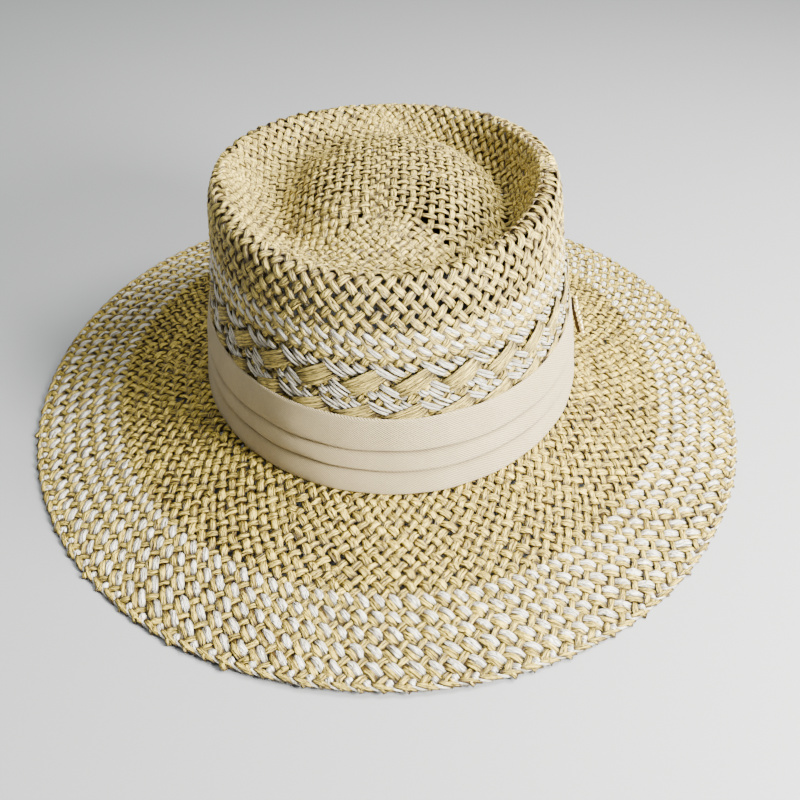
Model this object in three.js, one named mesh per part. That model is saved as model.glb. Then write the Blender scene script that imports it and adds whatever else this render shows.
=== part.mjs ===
// Wide-brim woven straw sun hat: oval telescope crown, round brim, three-pleat cloth band and a beaded
// metal plaque on the band. Millimetres, +Z up. The front faces -Y and the wearer's left is +X.
// The origin is on the surface that the brim rests on, under the middle of the brim.
import * as THREE from "three";

// Driving dimensions.
const strawThickness = 2.4;
const clearance = 0.3;
const columns = 64; // flat facets round the hat, shared so that neighbouring walls stay parallel
const brimHalfWidth = 170;
const brimHalfLength = 186.5;
const brimLandHeight = 18.7; // top of the brim where the crown stands on it
const brimLandWidth = 3.6; // how far the level land reaches out from the crown's wall
const brimCurl = 2.2; // how far the middle of the brim lies below a straight slope
const edgeWave = 1.3; // half the rise of the brim's edge between the places where it rests
const edgeWaves = 3;
const edgeRound = 0.6; // how far the brim's rounded edge reaches in
const restRimWidth = 4; // flat underside along the edge
const bandFootHeight = brimLandHeight + clearance;
const bandFootOffset = 3.4; // outer face of the lowest pleat from the wall's middle surface
const bandTuck = 0.9; // how far a pleat's lower fold stands over the pleat below
const bandLean = 0.4; // how much closer to the wall the band stands at its top
const foldRound = 0.35; // rounding of a pleat's lower fold
const bandInnerOffset = strawThickness / 2 + clearance + 0.2;
const bandTopHeight = 56;
const plaqueHeight = 20;
const plaqueWidth = 13;
const plaqueThickness = 2.6;
const plaqueBevel = 0.8;
const plaqueTopDrop = 0.8; // plaque's top edge under the band's top edge
const plaqueAngle = -4; // degrees round from +X

// The crown in sections, from the break at the brim, over the rim and through the groove to the top of the
// dome. Each section is an oval. side, back and right raise it there, front fills the groove in at the
// front, and crease sharpens and sinks the groove at the right front. steps is the facets up to the next.
const sectionColumns = [
  "halfX", "halfY", "centreX", "centreY", "height", "side", "back", "right", "front", "crease", "steps",
];
const crownSections = table(sectionColumns, [
  [85.4, 100.5, 1.7, 1.8, 19.0, 0.0, 0.0, 0.0, 0.0, 0.0, 1], // break
  [84.2, 99.8, 1.5, 1.9, 31.0, 0.0, 0.0, 0.0, 0.0, 0.0, 1], // behind the band's lowest pleat
  [81.4, 98.0, 1.0, 2.2, 58.0, 1.0, 0.0, 0.3, 0.0, 0.0, 1], // band's top edge
  [78.4, 95.0, 0.0, 2.6, 90.0, 2.4, 0.0, 1.0, 0.0, 0.0, 1], // upper wall
  [76.6, 92.0, -0.9, 2.9, 105.5, 3.6, -0.5, 1.8, 0.0, 0.0, 2], // shoulder
  [72.0, 86.6, -1.5, 3.0, 113.2, 3.9, -1.4, 2.0, 0.0, 0.0, 2], // crest of the rim
  [66.2, 80.8, -1.3, 3.0, 110.0, 3.2, -1.4, 1.6, 1.5, -1.0, 1], // inner side of the rim
  [59.0, 74.0, 0.4, 3.0, 102.5, 1.4, -1.0, 0.4, 5.0, -3.0, 2], // inner wall
  [50.5, 67.0, 2.4, 3.2, 98.6, 0.0, -0.6, -0.8, 7.0, -3.5, 2], // groove
  [43.0, 58.5, 2.2, 3.8, 102.8, 0.0, -0.4, 0.0, 4.5, -1.0, 2], // foot of the dome
  [31.0, 43.5, 1.2, 4.4, 110.0, 0.0, -0.2, 0.0, 1.0, 0.0, 1], // side of the dome
  [15.0, 20.0, 0.4, 4.8, 113.4, 0.0, 0.0, 0.0, 0.2, 0.0, 1], // top of the dome
  [0.0, 0.0, 0.0, 5.0, 114.2, 0.0, 0.0, 0.0, 0.0, 0.0, 0], // middle
]);
const frontWindow = { centre: -90, reach: 75 };
const creaseWindow = { centre: -25, reach: 75 };

// The band's pleats from the bottom up: foot and top as shares of the band's height, and how far the
// top leans in, which is under the next pleat's fold for the two lower ones.
const pleats = table(["foot", "top", "tuck"], [
  [0.0, 0.34, bandTuck],
  [0.34, 0.61, bandTuck],
  [0.61, 1.0, bandTuck / 2],
]);

const degrees = Math.PI / 180;

function table(names, rows) {
  return rows.map((row) => Object.fromEntries(names.map((name, i) => [name, row[i]])));
}

// 1 at the window's centre, falling smoothly to 0 at its reach in degrees.
function windowShare(angle, { centre, reach }) {
  const turned = ((angle / degrees - centre + 540) % 360) - 180;
  return Math.abs(turned) < reach ? 0.5 + 0.5 * Math.cos((Math.PI * turned) / reach) : 0;
}

function sectionPoint(section, angle) {
  const rise = section.side * Math.cos(2 * angle) + section.back * Math.sin(angle)
    + section.right * Math.cos(angle) + section.front * windowShare(angle, frontWindow)
    + section.crease * windowShare(angle, creaseWindow);
  return new THREE.Vector3(
    section.centreX + section.halfX * Math.cos(angle),
    section.centreY + section.halfY * Math.sin(angle),
    section.height + rise,
  );
}

// The meridian at an angle runs from the break, over the middle of the dome, to the opposite break.
function meridian(angle) {
  const near = crownSections.map((section) => sectionPoint(section, angle));
  const far = crownSections.slice(0, -1).map((section) => sectionPoint(section, angle + Math.PI));
  return new THREE.CatmullRomCurve3([...near, ...far.reverse()], false, "catmullrom", 0.5);
}

// A point of the straw's middle surface; along counts sections from the break.
function crownPoint(along, angle) {
  return meridian(angle).getPoint(along / (2 * (crownSections.length - 1)));
}

// Unit normal of a surface point(u, angle), on the side that out points to.
function normalOf(point, u, angle) {
  const du = 0.02;
  const da = 0.5 * degrees;
  const along = point(u + du, angle).sub(point(Math.max(u - du, 0), angle));
  const around = point(u, angle + da).sub(point(u, angle - da));
  return around.cross(along).normalize();
}

// The wall behind the band as a straight-sided oval cone, offset outwards in plan.
function wallPoint(height, angle, offset) {
  const foot = crownSections[0];
  const top = crownSections[2];
  const share = (height - foot.height) / (top.height - foot.height);
  const halfX = THREE.MathUtils.lerp(foot.halfX, top.halfX, share);
  const halfY = THREE.MathUtils.lerp(foot.halfY, top.halfY, share);
  const out = new THREE.Vector2(Math.cos(angle) / halfX, Math.sin(angle) / halfY).normalize();
  return new THREE.Vector3(
    THREE.MathUtils.lerp(foot.centreX, top.centreX, share) + halfX * Math.cos(angle) + offset * out.x,
    THREE.MathUtils.lerp(foot.centreY, top.centreY, share) + halfY * Math.sin(angle) + offset * out.y,
    height,
  );
}

function bandTopAt(angle) {
  return bandTopHeight + 0.4 * Math.cos(2 * angle);
}

function facetAngle(column) {
  return ((column % columns) / columns) * 2 * Math.PI;
}

// Indexed triangles over a grid of quads. quad(a, b, c, d) goes round counter-clockwise from outside.
class Faces {
  constructor() {
    this.points = [];
    this.index = [];
  }

  add(point) {
    this.points.push(point);
    return this.points.length - 1;
  }

  quad(a, b, c, d) {
    this.index.push(a, b, c, a, c, d);
  }

  geometry() {
    const geometry = new THREE.BufferGeometry().setFromPoints(this.points);
    geometry.setIndex(this.index);
    geometry.computeVertexNormals();
    return geometry;
  }
}

// A closed ring: loopAt(angle) gives its section, counter-clockwise as seen looking along the turn.
function ringSolid(loopAt) {
  const faces = new Faces();
  const loops = [];
  for (let column = 0; column < columns; column += 1) {
    loops.push(loopAt(facetAngle(column)).map((point) => faces.add(point)));
  }
  loops.forEach((loop, column) => {
    const next = loops[(column + 1) % columns];
    loop.forEach((corner, i) => {
      const j = (i + 1) % loop.length;
      faces.quad(corner, next[i], next[j], loop[j]);
    });
  });
  return faces.geometry();
}

// The crown is a cup: outer and inner grids over the same stations, joined at the break.
function crownGeometry() {
  const stations = [];
  crownSections.forEach((section, i) => {
    for (let step = 0; step < section.steps; step += 1) stations.push(i + step / section.steps);
  });
  const faces = new Faces();
  const skins = [1, -1].map((side) => stations.map((along) => {
    const row = [];
    for (let column = 0; column < columns; column += 1) {
      const angle = facetAngle(column);
      const normal = normalOf(crownPoint, along, angle);
      if (along === 0) normal.setZ(0).normalize(); // keeps the foot level on the brim
      row.push(faces.add(crownPoint(along, angle).addScaledVector(normal, (side * strawThickness) / 2)));
    }
    return row;
  }));
  const middle = crownSections[crownSections.length - 1];
  const poles = [1, -1].map((side) => faces.add(new THREE.Vector3(
    middle.centreX,
    middle.centreY,
    middle.height + (side * strawThickness) / 2,
  )));
  for (let column = 0; column < columns; column += 1) {
    const next = (column + 1) % columns;
    for (let row = 0; row + 1 < stations.length; row += 1) {
      const [outer, inner] = skins;
      faces.quad(outer[row][column], outer[row][next], outer[row + 1][next], outer[row + 1][column]);
      faces.quad(inner[row][next], inner[row][column], inner[row + 1][column], inner[row + 1][next]);
    }
    const last = stations.length - 1;
    faces.index.push(skins[0][last][column], skins[0][last][next], poles[0]);
    faces.index.push(skins[1][last][next], skins[1][last][column], poles[1]);
    faces.quad(skins[1][0][column], skins[1][0][next], skins[0][0][next], skins[0][0][column]);
  }
  return faces.geometry();
}

// Height of the brim's underside, from its level land (share 0) to the flat rim that it rests on (share 1).
function brimUnderside(share, angle) {
  const edge = edgeWave * Math.max(0, Math.cos(edgeWaves * (angle + 90 * degrees)) + 0.5);
  const land = brimLandHeight - strawThickness;
  return THREE.MathUtils.lerp(land, edge, share) - brimCurl * Math.sin(Math.PI * share) * (1 - share);
}

function brimLoop(angle) {
  const foot = crownSections[0];
  const oval = (centreX, centreY, halfX, halfY) => new THREE.Vector2(
    centreX + halfX * Math.cos(angle),
    centreY + halfY * Math.sin(angle),
  );
  const land = oval(foot.centreX, foot.centreY, foot.halfX + brimLandWidth, foot.halfY + brimLandWidth);
  const edge = (inset) => oval(0, 0, brimHalfWidth - inset, brimHalfLength - inset);
  const raised = (plan, height) => new THREE.Vector3(plan.x, plan.y, height);
  const slope = [0, 0.25, 0.5, 0.75, 1].map((share) => ({
    plan: land.clone().lerp(edge(restRimWidth), share),
    height: brimUnderside(share, angle),
  }));
  const edgeHeight = brimUnderside(1, angle);
  const hole = wallPoint(foot.height, angle, -strawThickness / 2);
  return [
    hole.clone().setZ(brimLandHeight - strawThickness),
    ...slope.map(({ plan, height }) => raised(plan, height)),
    raised(edge(edgeRound), edgeHeight),
    raised(edge(0), edgeHeight + strawThickness / 2),
    raised(edge(edgeRound), edgeHeight + strawThickness),
    ...slope.reverse().map(({ plan, height }) => raised(plan, height + strawThickness)),
    hole.clone().setZ(brimLandHeight),
  ];
}

// Outer face of the band: each pleat leans in under the fold of the pleat above it.
function bandLoop(angle) {
  const height = (share) => THREE.MathUtils.lerp(bandFootHeight, bandTopAt(angle), share);
  const face = (share, tuck) => wallPoint(height(share), angle, bandFootOffset - bandLean * share - tuck);
  const outside = pleats.flatMap(({ foot, top, tuck }) => [
    face(foot, foldRound),
    face(foot + 0.02, 0),
    face((foot + top) / 2, tuck * 0.35),
    face(top - 0.005, tuck),
  ]);
  const inside = [1, 0.5, 0].map((share) => wallPoint(height(share), angle, bandInnerOffset));
  return [...outside, ...inside];
}

// A plate curved to the band's outer face, with the edge of its front bevelled.
function plaqueGeometry() {
  const centre = plaqueAngle * degrees;
  const top = bandTopAt(centre) - plaqueTopDrop;
  const seat = bandFootOffset + clearance;
  const layers = table(["offset", "inset"], [
    [seat, 0],
    [seat + plaqueThickness - plaqueBevel, 0],
    [seat + plaqueThickness, plaqueBevel],
  ]);
  const steps = 6;
  const faces = new Faces();
  const corners = layers.map(({ offset, inset }) => {
    const row = (height) => Array.from({ length: steps + 1 }, (_, i) => {
      const across = (i / steps - 0.5) * (plaqueWidth - 2 * inset);
      return faces.add(wallPoint(height, centre + across / crownSections[0].halfY, offset));
    });
    return { low: row(top - plaqueHeight + inset), high: row(top - inset) };
  });
  const [back, , front] = corners;
  for (let i = 0; i < steps; i += 1) {
    faces.quad(front.low[i], front.low[i + 1], front.high[i + 1], front.high[i]);
    faces.quad(back.low[i + 1], back.low[i], back.high[i], back.high[i + 1]);
  }
  for (let layer = 0; layer + 1 < corners.length; layer += 1) {
    const [a, b] = [corners[layer], corners[layer + 1]];
    for (let i = 0; i < steps; i += 1) {
      faces.quad(a.low[i], a.low[i + 1], b.low[i + 1], b.low[i]);
      faces.quad(a.high[i + 1], a.high[i], b.high[i], b.high[i + 1]);
    }
    faces.quad(a.high[0], a.low[0], b.low[0], b.high[0]);
    faces.quad(a.low[steps], a.high[steps], b.high[steps], b.low[steps]);
  }
  return faces.geometry();
}

function part(name, geometry, color, roughness, metalness) {
  const mesh = new THREE.Mesh(geometry, new THREE.MeshStandardMaterial({ color, roughness, metalness }));
  mesh.name = name;
  return mesh;
}

const hat = new THREE.Group();
hat.add(part("crown", crownGeometry(), 0xd9c48f, 0.75, 0));
hat.add(part("brim", ringSolid(brimLoop), 0xd6c08a, 0.75, 0));
hat.add(part("hat_band", ringSolid(bandLoop), 0xd9cdb8, 0.9, 0));
hat.add(part("band_plaque", plaqueGeometry(), 0xb8a98a, 0.3, 1));

export default hat;
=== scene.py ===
import bpy
import numpy as np
from mathutils import Matrix


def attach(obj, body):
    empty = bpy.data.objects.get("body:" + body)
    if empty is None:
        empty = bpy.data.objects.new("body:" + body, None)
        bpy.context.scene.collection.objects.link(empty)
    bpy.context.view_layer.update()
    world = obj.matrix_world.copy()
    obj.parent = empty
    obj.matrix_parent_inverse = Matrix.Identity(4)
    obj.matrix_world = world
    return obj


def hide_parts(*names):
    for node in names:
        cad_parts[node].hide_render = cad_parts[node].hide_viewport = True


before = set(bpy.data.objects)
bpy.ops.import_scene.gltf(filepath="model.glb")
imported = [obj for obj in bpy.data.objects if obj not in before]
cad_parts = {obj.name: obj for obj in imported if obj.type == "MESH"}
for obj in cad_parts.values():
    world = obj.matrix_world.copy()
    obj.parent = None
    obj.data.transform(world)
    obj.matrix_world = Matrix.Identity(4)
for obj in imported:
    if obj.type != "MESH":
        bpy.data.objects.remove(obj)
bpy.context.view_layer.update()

mm = 0.001


class Wire:
    # a socket that takes part in sums, for shader and geometry trees alike
    def __init__(self, graph, socket):
        self.graph = graph
        self.socket = socket

    def __add__(self, other):
        return self.graph.maths("ADD", self, other)

    __radd__ = __add__

    def __sub__(self, other):
        return self.graph.maths("SUBTRACT", self, other)

    def __rsub__(self, other):
        return self.graph.maths("SUBTRACT", other, self)

    def __mul__(self, other):
        return self.graph.maths("MULTIPLY", self, other)

    __rmul__ = __mul__

    def __pow__(self, other):
        return self.graph.maths("POWER", self, other)

    def sine(self):
        return self.graph.maths("SINE", self)

    def size(self):
        return self.graph.maths("ABSOLUTE", self)

    def clamped(self):
        return self.graph.maths("ADD", self, 0.0, clamp=True)


class Graph:
    def __init__(self, tree):
        self.tree = tree

    def add(self, kind, settings=None, sockets=None, output=0):
        node = self.tree.nodes.new(kind)
        for name, value in (settings or {}).items():
            setattr(node, name, value)
        for name, value in (sockets or {}).items():
            if isinstance(value, Wire):
                self.tree.links.new(value.socket, node.inputs[name])
            else:
                node.inputs[name].default_value = value
        return Wire(self, node.outputs[output]) if node.outputs else None

    def maths(self, operation, *values, clamp=False):
        settings = {"operation": operation, "use_clamp": clamp}
        return self.add("ShaderNodeMath", settings, dict(enumerate(values)))

    def attribute(self, name):
        return self.add("ShaderNodeAttribute", {"attribute_name": name}, output=2)

    def noise(self, vector, scale=1.0, detail=2.0, roughness=0.5):
        sockets = {"Vector": vector, "Scale": scale, "Detail": detail, "Roughness": roughness}
        return self.add("ShaderNodeTexNoise", {}, sockets)

    def vector(self, x, y, z):
        return self.add("ShaderNodeCombineXYZ", {}, {0: x, 1: y, 2: z})

    def parts(self, vector):
        # x, y and z of a vector
        first = self.add("ShaderNodeSeparateXYZ", {}, {0: vector})
        return [Wire(self, socket) for socket in first.socket.node.outputs]

    def blend(self, factor, first, second):
        return self.add("ShaderNodeMix", {"data_type": "RGBA"}, {0: factor, 6: first, 7: second}, output=2)

    def bump(self, height, distance, strength=1.0):
        return self.add("ShaderNodeBump", {}, {"Height": height, "Distance": distance, "Strength": strength})


def newMaterial(name):
    material = bpy.data.materials.new(name)
    material.use_nodes = True
    material.node_tree.nodes.clear()
    return material, Graph(material.node_tree)


def finishMaterial(graph, **sockets):
    # sockets are Principled inputs, with underscores for the spaces
    named = {name.replace("_", " "): value for name, value in sockets.items()}
    shader = graph.add("ShaderNodeBsdfPrincipled", {}, named)
    graph.add("ShaderNodeOutputMaterial", {}, {"Surface": shader})


def newObject(name, data):
    thing = bpy.data.objects.new(name, data)
    bpy.context.scene.collection.objects.link(thing)
    return thing


def newMesh(name, points, faces=()):
    mesh = bpy.data.meshes.new(name)
    mesh.from_pydata((np.reshape(points, (-1, 3)) * mm).tolist(), [], faces)
    return mesh


def ringFaces(rings, count):
    # the faces between rings of points, each corner as its place round the ring and its ring
    faces = []
    for ring in range(rings - 1):
        for column in range(count):
            faces.append([(column + over, ring + up) for over, up in ((0, 0), (1, 0), (1, 1), (0, 1))])
    return faces


def numbered(faces, count):
    # those corners as point numbers
    return [[ring * count + column % count for column, ring in corners] for corners in faces]


def rgb(red, green, blue):
    # display values from 0 to 255 as linear colour
    def linear(value):
        value /= 255
        return value / 12.92 if value <= 0.04045 else ((value + 0.055) / 1.055) ** 2.4

    return (linear(red), linear(green), linear(blue), 1.0)


hatForm = {
    "strawThickness": 2.4,
    "brimHalfWidth": 168.6,
    "brimHalfLength": 186.5,
    "brimBackTuck": 2.6,  # how much shorter the brim is at the back than an oval
    "brimLandHeight": 18.7,
    "brimLandWidth": 3.6,  # level ring round the crown's foot
    "brimCurl": 2.2,
    "brimFallEnd": 1.05,  # the brim reaches the floor a little before its edge
    "edgeWave": 1.3,
    "edgeWaves": 3,
    "edgeWaveShare": 0.5,  # how much of the edge the waves lift
    "frontDip": (-90, 75),  # middle of the turn, and reach to each side, in degrees
    "creaseDip": (-25, 75),
    "bandFootHeight": 19.0,
    "bandTopHeight": 56.0,
    "bandTopSway": 0.4,
}

# halfX, halfY, centreX, centreY, height, side, back, right, front, crease
crownSections = np.array([
    [85.4, 100.5, 1.7, 1.8, 19, 0, 0, 0, 0, 0],  # break
    [84.2, 99.8, 1.5, 1.9, 31, 0, 0, 0, 0, 0],  # behind the band's lowest pleat
    [81.4, 98, 1, 2.2, 58, 1, 0, 0.3, 0, 0],  # band's top edge
    [77.5, 94.6, -0.5, 2.6, 90, 2.4, 0, 1, 0, 0],  # upper wall
    [75.8, 91.6, -1.4, 2.9, 105.5, 3.6, -0.5, 1.8, 0, 0],  # shoulder
    [71.5, 86.4, -1.9, 3, 113.2, 3.9, -1.4, 2, 0, 0],  # crest of the rim
    [66.2, 80.8, -1.3, 3, 110, 3.2, -1.4, 1.6, 1.5, -1],  # inner side of the rim
    [59, 74, 0.4, 3, 102.5, 1.4, -1, 0.4, 5, -3],  # inner wall
    [50.5, 67, 2.4, 3.2, 98.6, 0, -0.6, -0.8, 7, -3.5],  # groove
    [43, 58.5, 2.2, 3.8, 102.8, 0, -0.4, 0, 4.5, -1],  # foot of the dome
    [31, 43.5, 1.2, 4.4, 110, 0, -0.2, 0, 1, 0],  # side of the dome
    [15, 20, 0.4, 4.8, 113.4, 0, 0, 0, 0.2, 0],  # top of the dome
    [0, 0, 0, 5, 114.2, 0, 0, 0, 0, 0],  # middle
])
middleSection = len(crownSections) - 1


def windowShare(angle, centre, reach):
    # 1 at the centre, fading to 0 at the reach to each side of it, in degrees
    turned = (np.degrees(angle) - centre + 540) % 360 - 180
    return np.where(np.abs(turned) < reach, 0.5 + 0.5 * np.cos(np.pi * turned / reach), 0.0)


def smoothBetween(before, low, high, after, part):
    # part of the way from low to high, on a smooth line through all four
    return 0.5 * (
        2 * low
        + (high - before) * part
        + (2 * before - 5 * low + 4 * high - after) * part**2
        + (3 * low - before - 3 * high + after) * part**3
    )


def sectionPoint(index, angle):
    section = np.moveaxis(crownSections[index], -1, 0)
    halfX, halfY, centreX, centreY, height, side, back, right, front, crease = section
    rise = side * np.cos(2 * angle) + back * np.sin(angle) + right * np.cos(angle)
    rise = rise + front * windowShare(angle, *hatForm["frontDip"])
    rise = rise + crease * windowShare(angle, *hatForm["creaseDip"])
    return np.stack([centreX + halfX * np.cos(angle), centreY + halfY * np.sin(angle), height + rise], -1)


def crownPoint(along, angle):
    # middle of the straw; along counts sections up from the break, and past the middle down the far side
    along = np.clip(along, 0, middleSection - 1e-9)
    cell = np.floor(along).astype(int)
    part = (along - cell)[..., None]
    corners = []
    for step in (-1, 0, 1, 2):
        index = cell + step
        far = index > middleSection
        mirrored = np.where(far, 2 * middleSection - index, np.abs(index))
        corners.append(sectionPoint(mirrored, angle + np.pi * far))
    before, low, high, after = corners
    before = np.where((cell == 0)[..., None], 2 * low - high, before)
    return smoothBetween(before, low, high, after, part)


def brimPoint(share, angle):
    # middle of the straw, from the land round the crown (share 0) to the edge (share 1)
    form, foot = hatForm, crownSections[0]
    landX = foot[2] + (foot[0] + form["brimLandWidth"]) * np.cos(angle)
    landY = foot[3] + (foot[1] + form["brimLandWidth"]) * np.sin(angle)
    x = landX + (form["brimHalfWidth"] * np.cos(angle) - landX) * share
    y = landY + (form["brimHalfLength"] * np.sin(angle) - landY) * share
    y = y - form["brimBackTuck"] * share * np.maximum(np.sin(angle), 0) ** 2
    slope = np.clip(share * form["brimFallEnd"], 0, 1)
    wave = np.cos(form["edgeWaves"] * (angle + np.pi / 2)) + form["edgeWaveShare"]
    edge = form["edgeWave"] * np.maximum(0, wave)
    land = form["brimLandHeight"] - form["strawThickness"]
    under = land + (edge - land) * slope - form["brimCurl"] * np.sin(np.pi * slope) * (1 - slope)
    return np.stack([x, y, under + form["strawThickness"] / 2], -1)


def wallPoint(height, angle, offset):
    # wall behind the band, offset outwards in plan
    foot, top = crownSections[0], crownSections[2]
    share = (height - foot[4]) / (top[4] - foot[4])
    halfX, halfY, x, y = (foot[i] + (top[i] - foot[i]) * share for i in range(4))
    outX, outY = np.cos(angle) / halfX, np.sin(angle) / halfY
    length = np.hypot(outX, outY)
    x = x + halfX * np.cos(angle) + offset * outX / length
    y = y + halfY * np.sin(angle) + offset * outY / length
    return np.stack([x, y, height + 0 * angle], -1)


def bandTopAt(angle):
    return hatForm["bandTopHeight"] + hatForm["bandTopSway"] * np.cos(2 * angle)


# A chart lays a surface out flat round a centre, so that nets can be spread over the middle too.
def crownChart(flat):
    return crownPoint(middleSection - np.hypot(*flat.T), np.arctan2(flat[..., 1], flat[..., 0]))


def brimChart(flat):
    return brimPoint(np.hypot(*flat.T) - 1, np.arctan2(flat[..., 1], flat[..., 0]))


def chartPlace(radius, angle):
    return np.stack([radius * np.cos(angle), radius * np.sin(angle)], -1)


def slopesOf(chart, flat):
    nudge = 0.01
    here = chart(flat)
    return here, (chart(flat + [nudge, 0]) - here) / nudge, (chart(flat + [0, nudge]) - here) / nudge


def unit(vectors):
    return vectors / np.maximum(np.linalg.norm(vectors, axis=-1, keepdims=True), 1e-9)


def surfaceAt(chart, flat):
    # place, direction outwards, and one direction along the surface
    here, acrossX, acrossY = slopesOf(chart, flat)
    return here, unit(np.cross(acrossX, acrossY)), unit(acrossX)


def sidewaysOf(curve, normal):
    return unit(np.cross(normal, unit(np.gradient(curve, axis=0))))


class Net:
    # Rows of crossings round the hat. Each crossing lies between two neighbours of the row before, and two
    # strands pass through it: one goes on to the right (a) and one to the left (b). At a fold a strand
    # turns back, so that both of its halves run outwards and the next row has one crossing more.
    def __init__(self, firstRow, folds, lastRow):
        self.row = []
        self.fraction = []
        self.strands = []
        ring = []
        for fraction in firstRow:
            aPath, bPath = [], []
            self.place(0, fraction, aPath, bPath)
            self.strands += [([], aPath), (bPath, [])]
            ring.append((fraction, aPath, bPath))
        for row in range(lastRow + 1):
            for fraction in folds.get(row, []):
                aPath, bPath = [], []
                self.strands.append((bPath, aPath))
                start = ring[0][0] if ring else 0
                ring.append(((fraction - start) % 1 + start, aPath, bPath))
            ring.sort(key=lambda element: element[0])
            if row == lastRow:
                break
            nextRing = []
            for here, after in zip(ring, ring[1:] + [(ring[0][0] + 1, *ring[0][1:])]):
                middle = (here[0] + after[0]) / 2
                self.place(row + 1, middle, here[1], after[2])
                nextRing.append((middle, here[1], after[2]))
            ring = nextRing
        self.row = np.array(self.row)
        self.fraction = np.array(self.fraction)

    def place(self, row, fraction, aPath, bPath):
        number = len(self.row)
        self.row.append(row)
        self.fraction.append(fraction)
        aPath.append(number)
        bPath.append(number)

    def fullStrands(self):
        # crossing numbers of each strand, and 1 where it runs as an a strand, -1 as a b strand
        for bPath, aPath in self.strands:
            numbers = np.array(bPath[::-1] + aPath, int)
            family = np.array([-1] * len(bPath) + [1] * len(aPath))
            if len(numbers) > 1:
                yield numbers, family

    def neighboursOf(self, those):
        # four neighbours of each of those crossings, with repeats where there are fewer
        found = [[] for _ in self.row]
        for numbers, family in self.fullStrands():
            for one, two in zip(numbers, numbers[1:]):
                found[one].append(two)
                found[two].append(one)
        return np.array([(found[i] * 4)[:4] for i in those])


def evenAngle(fraction, halfX, halfY):
    # angle of the point that lies at a fraction of an oval's length round it
    angle = np.linspace(0, 2 * np.pi, 721)
    step = np.hypot(np.diff(halfX * np.cos(angle)), np.diff(halfY * np.sin(angle)))
    length = np.concatenate([[0], np.cumsum(step)]) / step.sum()
    return np.interp(fraction % 1, length, angle)


settling = {"rounds": 260, "pull": 0.8, "momentum": 0.6, "longestMove": 0.12}


def relax(chart, flat, net, moving):
    # each crossing settles in the middle of its four neighbours, on the surface
    table = net.neighboursOf(moving)
    last = flat.copy()
    for _ in range(settling["rounds"]):
        here, acrossX, acrossY = slopesOf(chart, flat)
        pull = here[table].mean(1) - here[moving]
        x, y = acrossX[moving], acrossY[moving]
        xx, xy, yy = (x * x).sum(-1), (x * y).sum(-1), (y * y).sum(-1)
        px, py = (pull * x).sum(-1), (pull * y).sum(-1)
        size = xx * yy - xy * xy
        step = np.stack([(px * yy - py * xy) / size, (py * xx - px * xy) / size], -1)
        move = settling["pull"] * step + settling["momentum"] * (flat[moving] - last[moving])
        length = np.maximum(np.linalg.norm(move, axis=-1, keepdims=True), 1e-9)
        last = flat.copy()
        flat[moving] += move * np.minimum(1, settling["longestMove"] / length)
    return flat


def throughPoints(points, steps):
    # a smooth line through the points, with the number of steps from each to the next
    padded = np.concatenate([[2 * points[0] - points[1]], points, [2 * points[-1] - points[-2]]])
    part = (np.arange(steps) / steps)[None, :, None]
    curve = smoothBetween(*(padded[i : len(padded) - 3 + i, None] for i in range(4)), part)
    return np.concatenate([curve.reshape(-1, points.shape[1]), points[-1:]])


def stepsBetween(values, steps, eased=False):
    # from value to value; eased, with level stops, as a strand goes over and under
    part = np.arange(steps) / steps
    if eased:
        part = 0.5 - 0.5 * np.cos(np.pi * part)
    part = part.reshape(-1, *[1] * (values.ndim - 1))
    between = values[:-1, None] + (values[1:] - values[:-1])[:, None] * part
    return np.concatenate([between.reshape(-1, *values.shape[1:]), values[-1:]])


floorRoom = 0.68  # lowest middle of a strand, so that it lies on the floor


class Strands:
    # collects the paths of one piece's strands, then sweeps a ribbon along them
    def __init__(self, name):
        self.name = name
        self.points, self.facing, self.edges = [], [], []
        self.layers = {"width": [], "bleach": [], "shade": [], "lift": []}
        self.count = 0

    def add(self, woven, bleach, shade, spots=slice(None)):
        # a strand, or the spots of one, given as places, facing, widths and lifts
        points, facing, width, lift = (part[spots] for part in woven)
        size = len(points)
        if size < 3:
            return
        points[:, 2] = np.maximum(points[:, 2], floorRoom)
        self.points.append(points)
        self.facing.append(facing)
        for layer, values in zip(self.layers.values(), (width * mm, bleach, shade, lift)):
            layer.append(np.broadcast_to(values, size))
        numbers = np.arange(self.count, self.count + size)
        self.edges.append(np.stack([numbers[:-1], numbers[1:]], -1))
        self.count += size

    def sweep(self, material, sides, flatness):
        edges = np.concatenate(self.edges)
        mesh = bpy.data.meshes.new(self.name)
        mesh.vertices.add(self.count)
        mesh.vertices.foreach_set("co", (np.concatenate(self.points) * mm).astype(np.float32).ravel())
        mesh.edges.add(len(edges))
        mesh.edges.foreach_set("vertices", edges.astype(np.int32).ravel())
        facing = mesh.attributes.new("facing", "FLOAT_VECTOR", "POINT")
        facing.data.foreach_set("vector", np.concatenate(self.facing).astype(np.float32).ravel())
        for name, values in self.layers.items():
            layer = mesh.attributes.new(name, "FLOAT", "POINT")
            layer.data.foreach_set("value", np.concatenate(values).astype(np.float32))
        piece = newObject(self.name, mesh)
        runTree(piece, strandTree, {"Sides": sides, "Flatness": flatness, "Straw": material})
        print(f"{self.name}: {len(self.edges)} strands, {triangleCount(piece)} triangles")
        return piece


def triangleCount(piece):
    return sum(len(face.vertices) - 2 for face in piece.data.polygons)


def geometryTree(name, inputs):
    tree = bpy.data.node_groups.new(name, "GeometryNodeTree")
    tree.interface.new_socket("Geometry", in_out="INPUT", socket_type="NodeSocketGeometry")
    for label, kind, value in inputs:
        socket = tree.interface.new_socket(label, in_out="INPUT", socket_type=kind)
        if value is not None:
            socket.default_value = value
    tree.interface.new_socket("Geometry", in_out="OUTPUT", socket_type="NodeSocketGeometry")
    graph = Graph(tree)
    source = tree.nodes.new("NodeGroupInput")
    wires = {socket.name: Wire(graph, socket) for socket in source.outputs if socket.name}
    return tree, graph, wires


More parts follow.
